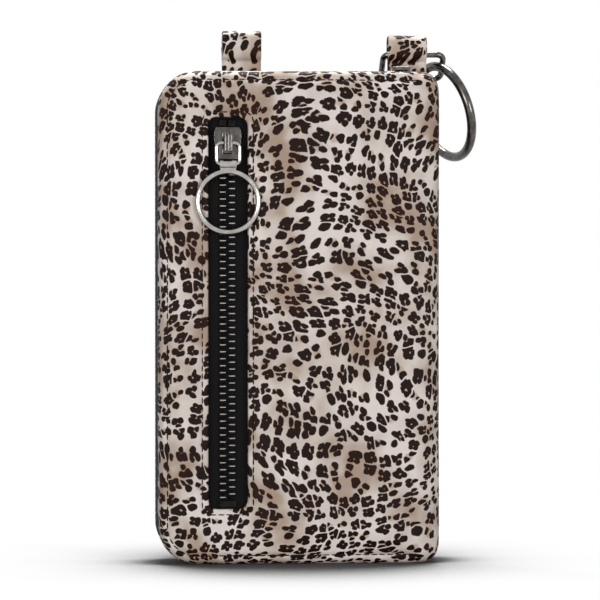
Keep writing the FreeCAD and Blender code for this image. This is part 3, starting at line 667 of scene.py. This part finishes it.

# %% [markdown]
# ## Spine and strap loops
# The spine and the loops are folded strips of the same satin. They are too thin to swell, so a copy of
# each is remeshed finely and only smoothed. That rounds the folds as pressed cloth does. The spine is
# the pouch's hinge: its edges are sewn to the two halves, so they are drawn out to reach them, and it
# rides on neither body.

# %% Folded strips
SPINE_VOXEL = 0.55 * MM
LOOP_VOXEL = 0.45 * MM
CREASE_SPAN, CREASE_HEIGHT = 5 * MM, 0.12 * MM
SEWN_EDGE = 1.5 * MM
SEWN_REACH = 1.0 * MM


def folded_strip(node, name, voxel, shift):
    piece = copy_of_node(node, name)
    finish_with(piece, "REMESH", mode="VOXEL", voxel_size=voxel)
    finish_with(piece, "SMOOTH", factor=0.5, iterations=3)
    normals = [vertex.normal.copy() for vertex in piece.data.vertices]
    for vertex, normal in zip(piece.data.vertices, normals):
        vertex.co += normal * noise.noise(vertex.co / CREASE_SPAN) * CREASE_HEIGHT
    lay_print(piece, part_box(node)[0].y, -1, shift)
    return smooth(piece, CLOTH_ANGLE)


spine = folded_strip("spine_strip", "spine_panel", SPINE_VOXEL, (31, 17))
spine_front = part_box("spine_strip")[0].y
spine_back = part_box("spine_strip")[1].y
for vertex in spine.data.vertices:
    to_front = max(0.0, 1 - (vertex.co.y - spine_front) / SEWN_EDGE)
    to_back = max(0.0, 1 - (spine_back - vertex.co.y) / SEWN_EDGE)
    vertex.co.y += SEWN_REACH * (to_back - to_front)
left_loop = folded_strip("left_strap_loop", "left_loop_strip", LOOP_VOXEL, (62, -24))
right_loop = folded_strip("right_strap_loop", "right_loop_strip", LOOP_VOXEL, (-70, -96))
hand_over(spine, None, "printed_cloth", satin, "spine_strip")
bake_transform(spine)
hand_over(left_loop, "pouch_back", "printed_cloth", satin, "left_strap_loop")
hand_over(right_loop, "pouch_back", "printed_cloth", satin, "right_strap_loop")

# %% [markdown]
# ## Zip tapes
# The pocket's two tapes lie flat behind the window. Each starts as a fine grid, gets a slight wave from
# sewing, and Solidify gives it its thickness. The main zip's tapes bend round the pouch, so they start
# from copies of the model's own strips, and a bevel takes off their sharp edges. Their outer edges
# reach into the padding, where they are sewn. Down the left side, away from the slider, the edges with
# the teeth roll out a little, and show as a black line beside the front half.

# %% Pocket tapes and main tapes
RIPPLE_SPAN = 9 * MM
TAPE_RIPPLE = 0.1 * MM
PANEL_ANGLE = 50


def cloth_panel(name, low, high, spacing, ripple):
    """A flat panel of cloth in X and Z, as a fine grid with a slight wave."""
    size = high - low
    middle = (low + high) / 2
    bpy.ops.object.select_all(action="DESELECT")
    bpy.ops.mesh.primitive_grid_add(
        x_subdivisions=round(size.x / spacing), y_subdivisions=round(size.z / spacing), size=1,
        location=middle, rotation=(math.pi / 2, 0, 0),
    )
    panel = made(name)
    panel.scale = (size.x, size.z, 1)
    settle(panel)
    for vertex in panel.data.vertices:
        vertex.co.y += noise.noise(vertex.co / RIPPLE_SPAN) * ripple
    return panel


def pocket_tape(node, name):
    low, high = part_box(node)
    tape = cloth_panel(name, low, high, spacing=1.2 * MM, ripple=TAPE_RIPPLE)
    finish_with(tape, "SOLIDIFY", thickness=high.y - low.y - TAPE_RIPPLE, offset=0)
    finish_with(tape, "BEVEL", width=0.15 * MM, segments=2, limit_method="ANGLE")
    return smooth(tape, PANEL_ANGLE)


main_low, main_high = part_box("main_tape_back")
ZIP_CORNER = 12 * MM
TAPE_ROLL = 0.7 * MM
SEWN_FROM = 5 * MM


def outward_of(point):
    """The direction away from the pouch at a point on the main zip."""
    turn_x = main_low.x + ZIP_CORNER
    turn_z = min(max(point.z, main_low.z + ZIP_CORNER), main_high.z - ZIP_CORNER)
    return Vector((min(point.x - turn_x, 0), 0, point.z - turn_z)).normalized()


def main_tape(node, name):
    tape = copy_of_node(node, name)
    for vertex in tape.data.vertices:
        if abs(vertex.co.y) > SEWN_FROM:
            vertex.co.y += math.copysign(SEWN_REACH, vertex.co.y)
        else:
            outward = outward_of(vertex.co)
            vertex.co += outward * TAPE_ROLL * outward.x ** 2
    finish_with(tape, "BEVEL", width=0.12 * MM, segments=2, limit_method="ANGLE")
    return smooth(tape)


for side in ("left", "right"):
    node = "pocket_tape_" + side
    hand_over(pocket_tape(node, f"pocket_{side}_tape"), "front_cover", "zip_tape", tape_weave, node)
for side, body in (("front", "front_cover"), ("back", "pouch_back")):
    node = "main_tape_" + side
    hand_over(main_tape(node, f"main_{side}_tape"), body, "zip_tape", tape_weave, node)

# %% [markdown]
# ## Zip teeth
# Metal teeth are stamped: two legs grip the tape's edge, and a narrower head reaches to the middle
# between two heads of the other row. The slider's post passes between the rows, so the heads stop just
# short of the middle. One tooth is modelled, and copies go where the model has its plain blocks.

# %% One tooth
TOOTH = Vector((2.7, 0.95, 1.7)) * MM
HEAD_SHARE = 0.45
HEAD_TAPER = (1, 0.7, 0.8)
TIP_SHARE = 0.9
FLAT_UP = 0.8
RIDGE_INSET = 0.28 * MM
RIDGE_HEIGHT = 0.2 * MM
LEG_REACH = 1.33 * MM
TOOTH_ANGLE = 30

tooth_low = Vector((0, -TOOTH.y / 2, -TOOTH.z / 2))
tooth = block("one_tooth", tooth_low, Vector((TOOTH.x, TOOTH.y / 2, TOOTH.z / 2)))
choose(tooth, "FACE", lambda face: True)
bpy.ops.mesh.bisect(plane_co=(TOOTH.x * (1 - HEAD_SHARE), 0, 0), plane_no=(1, 0, 0))
bpy.ops.object.mode_set(mode="OBJECT")
choose(tooth, "VERT", lambda vertex: vertex.co.x > TOOTH.x * TIP_SHARE)
bpy.ops.transform.resize(value=HEAD_TAPER, center_override=(TOOTH.x, 0, 0))
bpy.ops.object.mode_set(mode="OBJECT")
choose(tooth, "FACE", lambda face: abs(face.normal.z) > FLAT_UP)
bpy.ops.mesh.inset(thickness=RIDGE_INSET, depth=RIDGE_HEIGHT)
bpy.ops.object.mode_set(mode="OBJECT")
# The ridge faces are marked for a brighter tint: rubbed plating, and a painted highlight for their glint.
ridge = tooth.data.attributes.new("ridge", "FLOAT", "FACE")
for face in tooth.data.polygons:
    ridge.data[face.index].value = 1.0 if face.select else 0.0
smooth(tooth, TOOTH_ANGLE)
print("tooth:", len(tooth.data.polygons), "faces")

# %% Rows of teeth


def middles(node):
    """The middle of each separate solid in a node's mesh."""
    mesh = bmesh.new()
    mesh.from_mesh(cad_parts[node].data)
    bmesh.ops.remove_doubles(mesh, verts=mesh.verts, dist=WELD)
    found, seen = [], set()
    for start in mesh.verts:
        if start in seen:
            continue
        group, wait = [], [start]
        seen.add(start)
        while wait:
            corner = wait.pop()
            group.append(corner.co)
            near = [edge.other_vert(corner) for edge in corner.link_edges]
            wait.extend(other for other in near if other not in seen)
            seen.update(near)
        low = Vector([min(p[i] for p in group) for i in range(3)])
        high = Vector([max(p[i] for p in group) for i in range(3)])
        found.append((low + high) / 2)
    mesh.free()
    return found


def tooth_row(name, node, reach, up_at):
    """Teeth in a row. reach is the way that their heads point, and up_at gives the way that they face."""
    places = []
    for middle in middles(node):
        places.append(at(middle - reach * LEG_REACH, reach, up_at(middle)))
    return smooth(copies(name, tooth, places), TOOTH_ANGLE)


def face_front(point):
    return Vector((0, -1, 0))


right_way, back_way = Vector((1, 0, 0)), Vector((0, 1, 0))
for name, node, body, reach, up_at, plate in (
    ("pocket_left_teeth", "pocket_teeth_left", "front_cover", right_way, face_front, dark_brass),
    ("pocket_right_teeth", "pocket_teeth_right", "front_cover", -right_way, face_front, dark_brass),
    ("main_front_teeth", "main_teeth_front", "front_cover", back_way, outward_of, black_brass),
    ("main_back_teeth", "main_teeth_back", "pouch_back", -back_way, outward_of, black_brass),
):
    hand_over(tooth_row(name, node, reach, up_at), body, "zip_metal", plate, node)
bpy.data.objects.remove(tooth)

# %% [markdown]
# ## Sliders
# A slider is cast in zinc: two plates with flanges, a wedge between them, and a bridge that holds the
# pull. Its soft edges come from the casting and from tumbling before it is plated. So a copy of the
# model's slider gets three flutes on its bridge, is remeshed finely, drawn in to rounded shoulders, and
# smoothed. The main zip's pull is stamped: the same way gives it soft edges, and its tab a sunk panel
# with ribs for the fingers.

# %% Cast sliders
CAST_VOXEL = 0.15 * MM
FLUTE = 0.42 * MM
FLUTE_STEP = 1.12 * MM
FLUTE_LENGTH = 6.2 * MM
FLUTE_LIFT = 0.1 * MM
FLANGE_EDGE = 4.1 * MM
SHOULDER_FROM, SHOULDER_DRAWN, SHOULDER_CURVE = 0.65, 0.95, 2.2
WAIST_AT, WAIST_SPAN, WAIST_DRAWN = 0.28, 0.16, 0.45
CAST_ANGLE = 60


def cast_slider(node, name, long_way, wide_way, face_way):
    """A slider whose length, up to its nose, width and face lie along the given directions."""
    piece = copy_of_node(node, name)
    low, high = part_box(node)
    middle = (low + high) / 2
    ends = sorted((low.dot(long_way), high.dot(long_way)))
    top = max(low.dot(face_way), high.dot(face_way))
    flutes = []
    for step in (-1, 0, 1):
        bpy.ops.object.select_all(action="DESELECT")
        bpy.ops.mesh.primitive_cylinder_add(vertices=12, radius=FLUTE, depth=FLUTE_LENGTH)
        flute = made("flute")
        spot = middle + wide_way * FLUTE_STEP * step
        spot += face_way * (top - spot.dot(face_way) + FLUTE_LIFT)
        turn = long_way.to_track_quat("Z", "Y").to_matrix().to_4x4()
        flute.matrix_world = Matrix.Translation(spot) @ turn
        flutes.append(settle(flute))
    piece = join(name, [piece] + flutes)
    finish_with(piece, "REMESH", mode="VOXEL", voxel_size=CAST_VOXEL)
    for vertex in piece.data.vertices:
        share = (vertex.co.dot(long_way) - ends[0]) / (ends[1] - ends[0])
        shoulder = max(0.0, (share - SHOULDER_FROM) / (1 - SHOULDER_FROM))
        waist = math.exp(-((share - WAIST_AT) / WAIST_SPAN) ** 2)
        drawn = SHOULDER_DRAWN * shoulder ** SHOULDER_CURVE + WAIST_DRAWN * waist
        across = (vertex.co - middle).dot(wide_way)
        overhang = max(0.0, abs(across) - FLANGE_EDGE)
        vertex.co -= wide_way * math.copysign(overhang * drawn, across)
    finish_with(piece, "SMOOTH", factor=0.5, iterations=2)
    return smooth(piece, CAST_ANGLE)


up_way = Vector((0, 0, 1))
pocket_slider = cast_slider("pocket_slider", "pocket_cast_slider", up_way, right_way, -back_way)
main_slider = cast_slider("main_slider", "main_cast_slider", right_way, back_way, up_way)
hand_over(pocket_slider, "pocket_slider", "gunmetal", slider_plate, "pocket_slider")
hand_over(main_slider, "main_slider", "gunmetal", slider_plate, "main_slider")

# %% Stamped pull of the main zip
PULL_RIM = 1.0 * MM
PULL_EYE = 5 * MM
PULL_RECESS = 0.22 * MM
RECESS_SLOPE = 0.3 * MM
RIB_STEP = 1.6 * MM
RIB_SHARE = 0.6
RIB_FROM = 0.2

main_pull = copy_of_node("main_pull_tab", "main_pull")
finish_with(main_pull, "REMESH", mode="VOXEL", voxel_size=CAST_VOXEL)
pull_low, pull_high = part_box("main_pull_tab")
panel_low = pull_low + Vector((PULL_RIM, PULL_RIM, 0))
panel_high = pull_high - Vector((PULL_EYE, PULL_RIM, 0))
pull_middle = (pull_low + pull_high) / 2
for vertex in main_pull.data.vertices:
    past_low, to_high = vertex.co - panel_low, panel_high - vertex.co
    inside = min(past_low.x, to_high.x, past_low.y, to_high.y)
    if inside > 0:
        sunk = PULL_RECESS * min(1.0, inside / RECESS_SLOPE)
        on_rib = math.sin(past_low.x * 2 * math.pi / RIB_STEP) > RIB_FROM
        rib = RIB_SHARE * sunk if on_rib else 0.0
        vertex.co.z += (sunk - rib) * (-1 if vertex.co.z > pull_middle.z else 1)
finish_with(main_pull, "SMOOTH", factor=0.5, iterations=2)
smooth(main_pull, CAST_ANGLE)
hand_over(main_pull, "main_pull", "gunmetal", slider_plate, "main_pull_tab")

# %% [markdown]
# ## Linings, sleeve and pocket bag
# Inside, thin black taffeta covers both halves, a sleeve on the back holds the phone, and a flat bag
# hangs behind the front window. Each is cut from flat cloth, so each starts as a fine grid. The
# sleeve's and the bag's edges are extruded to make their sides, and Solidify gives the cloth its
# thickness. A folded tape with one row of stitches binds the sleeve's mouth.

# %% Linings
CLOTH = 0.5 * MM
LINING_SPACING = 2.5 * MM


def lining(node, name):
    low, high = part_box(node)
    panel = cloth_panel(name, low, high, LINING_SPACING, ripple=0.1 * MM)
    return smooth(finish_with(panel, "SOLIDIFY", thickness=CLOTH, offset=0), PANEL_ANGLE)


for side, body in (("front", "front_cover"), ("back", "pouch_back")):
    node = side + "_lining"
    panel = hand_over(lining(node, f"{side}_taffeta_lining"), body, "lining_cloth", lining_weave, node)

# %% Phone sleeve


def extrude_rim(panel, chosen, move):
    """Extrudes the outer edges whose middles are chosen."""
    mesh = panel.data
    uses = {}
    for face in mesh.polygons:
        for key in face.edge_keys:
            uses[key] = uses.get(key, 0) + 1

    def on_rim(edge):
        ends = [mesh.vertices[index].co for index in edge.vertices]
        return uses[edge.key] == 1 and chosen((ends[0] + ends[1]) / 2)

    choose(panel, "EDGE", on_rim)
    bpy.ops.mesh.extrude_edges_move(TRANSFORM_OT_translate={"value": move})
    bpy.ops.object.mode_set(mode="OBJECT")


DEPTH_STEPS = 4
MOUTH_EDGE = 1 * MM

sleeve_low, sleeve_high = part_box("phone_pocket")
face_low = sleeve_low + Vector((CLOTH, 0, CLOTH))
face_high = Vector((sleeve_high.x - CLOTH, sleeve_low.y + 2 * CLOTH, sleeve_high.z))
sleeve = cloth_panel("phone_sleeve", face_low, face_high, LINING_SPACING, ripple=0.15 * MM)
sleeve_depth = sleeve_high.y - sleeve_low.y - 2 * CLOTH
below_mouth = sleeve_high.z - MOUTH_EDGE
for step in range(DEPTH_STEPS):
    extrude_rim(sleeve, lambda middle: middle.z < below_mouth, (0, sleeve_depth / DEPTH_STEPS, 0))
finish_with(sleeve, "SOLIDIFY", thickness=CLOTH, offset=0)
smooth(sleeve, PANEL_ANGLE)
hand_over(sleeve, "pouch_back", "lining_cloth", lining_weave, "phone_pocket")

# %% Hem of the sleeve's mouth
HEM_THICK = 1.5 * MM
HEM_DOWN, HEM_UP = 9 * MM, 0.6 * MM
HEM_PROUD = 0.25 * MM
HEM_WAVE_SPAN, HEM_WAVE_HEIGHT = 6 * MM, 0.15 * MM
HEM_SEAM_UP, HEM_SEAM_END = 1.5 * MM, 1 * MM

hem_low = Vector((sleeve_low.x + CLOTH, sleeve_low.y - HEM_PROUD, sleeve_high.z - HEM_DOWN))
hem_high = Vector((sleeve_high.x - CLOTH, hem_low.y + HEM_THICK, sleeve_high.z + HEM_UP))
hem = block("sleeve_hem", hem_low, hem_high)
finish_with(hem, "BEVEL", width=0.6 * MM, segments=4)
finish_with(hem, "REMESH", mode="VOXEL", voxel_size=0.5 * MM)
for vertex in hem.data.vertices:
    vertex.co.y += noise.noise(vertex.co / HEM_WAVE_SPAN) * HEM_WAVE_HEIGHT
smooth(hem, CLOTH_ANGLE)
hem_ends = (hem_low.x + HEM_SEAM_END, hem_high.x - HEM_SEAM_END)
hem_line = seam_line([Vector((x, 0, hem_low.z + HEM_SEAM_UP)) for x in hem_ends], 0, STITCH_STEP)
hem_stitches = stitched("sleeve_hem_stitches", hem, -1, hem_line)
hand_over(hem, "pouch_back", "lining_cloth", tape_weave)
hand_over(hem_stitches, "pouch_back", "lining_cloth", pale_thread)
bpy.data.objects.remove(stitch)

# %% Pocket bag
bag_low, bag_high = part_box("front_pocket_bag")
bag_back = Vector((bag_low.x + CLOTH, bag_high.y - CLOTH, bag_low.z + CLOTH))
bag_corner = bag_high - Vector((CLOTH, 0, CLOTH))
bag = cloth_panel("zip_pocket_bag", bag_back, bag_corner, spacing=3 * MM, ripple=0.1 * MM)
bag_depth = bag_high.y - bag_low.y - 2 * CLOTH
for forward in (bag_depth / 2, bag_depth / 2, 0):
    extrude_rim(bag, lambda middle: True, (0, -forward, 0))
# The last rim is drawn in to the window, which makes the bag's front.
for vertex in bag.data.vertices:
    if vertex.select:
        vertex.co.x = min(max(vertex.co.x, window_low.x), window_high.x)
        vertex.co.z = min(max(vertex.co.z, window_low.z), window_high.z)
finish_with(bag, "SOLIDIFY", thickness=CLOTH, offset=0)
smooth(bag, PANEL_ANGLE)
hand_over(bag, "front_cover", "lining_cloth", lining_weave, "front_pocket_bag")

# %% [markdown]
# ## Rings, links and pulls
# Bent wire and turned rings are already exact in the model. Remaking them would add nothing, so they
# stay and only get their plates.

# %% Finishes of the kept metal
KEPT = {
    nickel: ("pocket_pull_link", "pocket_ring_pull"),
    gunmetal: ("strap_loop_ring", "gate_ring_body", "gate_arm"),
    dark_brass: ("pocket_top_stops", "pocket_bottom_stop"),
    spring_steel: ("gate_pin", "gate_spring"),
}
for plate, names in KEPT.items():
    for name in names:
        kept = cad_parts[name].data.materials
        kept.clear()
        kept.append(plate)
    print(plate.name, "on", ", ".join(names))

# %% [markdown]
# ## Camera, floor and light
# The photo looks almost straight at the front, from a little to the left and a little above the middle.
# The floor and the surroundings are white to the camera and in reflections, while soft lamps light the
# pouch plainly. Where ambient occlusion finds the pouch close over it, the floor shows a dark grey card
# with its own lamp shading instead: a painted contact shadow, partly real shade, that stays at any pose.

# %% Camera
PIXEL = 0.36 * MM
PICTURE = 600
LOOK_AT = Vector((0, front_low.y, 95.4 * MM))
EYE_HEIGHT = 112 * MM
EYE_DISTANCE = 1.1
EYE_TURN = math.radians(5)

eye = LOOK_AT - EYE_DISTANCE * Vector((math.sin(EYE_TURN), math.cos(EYE_TURN), 0))
eye.z = EYE_HEIGHT
bpy.ops.object.select_all(action="DESELECT")
bpy.ops.object.camera_add(location=eye, rotation=(LOOK_AT - eye).to_track_quat("-Z", "Y").to_euler())
camera = made("photo_camera")
camera.data.lens = camera.data.sensor_width * EYE_DISTANCE / (PIXEL * PICTURE)
scene.camera = camera
print("camera:", round(camera.data.lens), "mm lens at", EYE_DISTANCE, "m")

# %% Floor
SHADOW_REACH = 100 * MM
DARK_OPEN_SHARE, WHITE_OPEN_SHARE = 0.6, 0.95

bpy.ops.object.select_all(action="DESELECT")
bpy.ops.mesh.primitive_plane_add(size=8, location=(0, 0, 0))
floor = made("pale_floor")
card, card_tree, card_shader = new_material("grey_card_painted_contact_shadow")
# The card is dark grey so that it reads as shadow where it shows: a painted shadow colour.
card_shader.inputs["Base Color"].default_value = colour("#3e3e3e")
card_shader.inputs["Roughness"].default_value = 0.9
rays = add(card_tree, "ShaderNodeLightPath")
seen = add(
    card_tree, "ShaderNodeMath", {0: rays["Is Camera Ray"], 1: rays["Is Glossy Ray"]}, operation="MAXIMUM",
)
seen = add(card_tree, "ShaderNodeMath", {0: seen[0], 1: rays["Is Transmission Ray"]}, operation="MAXIMUM")
# Ambient occlusion, not the lamps, picks where the dark card shows: a painted contact shadow.
open_share = add(card_tree, "ShaderNodeAmbientOcclusion", {"Distance": SHADOW_REACH})["AO"]
share = add(
    card_tree, "ShaderNodeMapRange",
    {"Value": open_share, "From Min": DARK_OPEN_SHARE, "From Max": WHITE_OPEN_SHARE},
    interpolation_type="SMOOTHSTEP",
)
shown = add(card_tree, "ShaderNodeMath", {0: seen[0], 1: share[0]}, operation="MULTIPLY")
glow = add(card_tree, "ShaderNodeEmission", {"Color": colour("#ffffff"), "Strength": 1.0})
mixed = add(card_tree, "ShaderNodeMixShader", {0: shown[0], 1: card_shader.outputs[0], 2: glow[0]})
card_tree.links.new(mixed[0], card_tree.nodes["Material Output"].inputs["Surface"])
floor.data.materials.append(card)
print("floor:", floor.name, "of", card.name)

# %% Surroundings and lamps
SOFT_LIGHT = 0.1
LIT_POINT = Vector((0, 0, 90 * MM))

world = bpy.data.worlds.new("white_studio")
world.use_nodes = True
sky = world.node_tree
ways = add(sky, "ShaderNodeLightPath")
looked = add(
    sky, "ShaderNodeMath", {0: ways["Is Camera Ray"], 1: ways["Is Glossy Ray"]}, operation="MAXIMUM",
)
looked = add(sky, "ShaderNodeMath", {0: looked[0], 1: ways["Is Transmission Ray"]}, operation="MAXIMUM")
strength = add(
    sky, "ShaderNodeMath", {0: looked[0], 1: 1 - SOFT_LIGHT, 2: SOFT_LIGHT}, operation="MULTIPLY_ADD",
)
sky.links.new(strength[0], sky.nodes["Background"].inputs["Strength"])
sky.nodes["Background"].inputs["Color"].default_value = (1, 1, 1, 1)
scene.world = world


def lamp(name, place, size, power):
    bpy.ops.object.select_all(action="DESELECT")
    turn = (LIT_POINT - Vector(place)).to_track_quat("-Z", "Y").to_euler()
    bpy.ops.object.light_add(type="AREA", location=place, rotation=turn)
    made_lamp = made(name)
    made_lamp.data.size = size
    made_lamp.data.energy = power


lamp("overhead_softbox", (0.0, 0.3, 1.1), size=0.4, power=16.0)
lamp("left_softbox", (-0.75, -1.3, 0.12), size=0.6, power=14.3)
lamp("right_softbox", (0.85, -1.25, 0.12), size=0.6, power=12.3)
scene.view_settings.view_transform = "Standard"
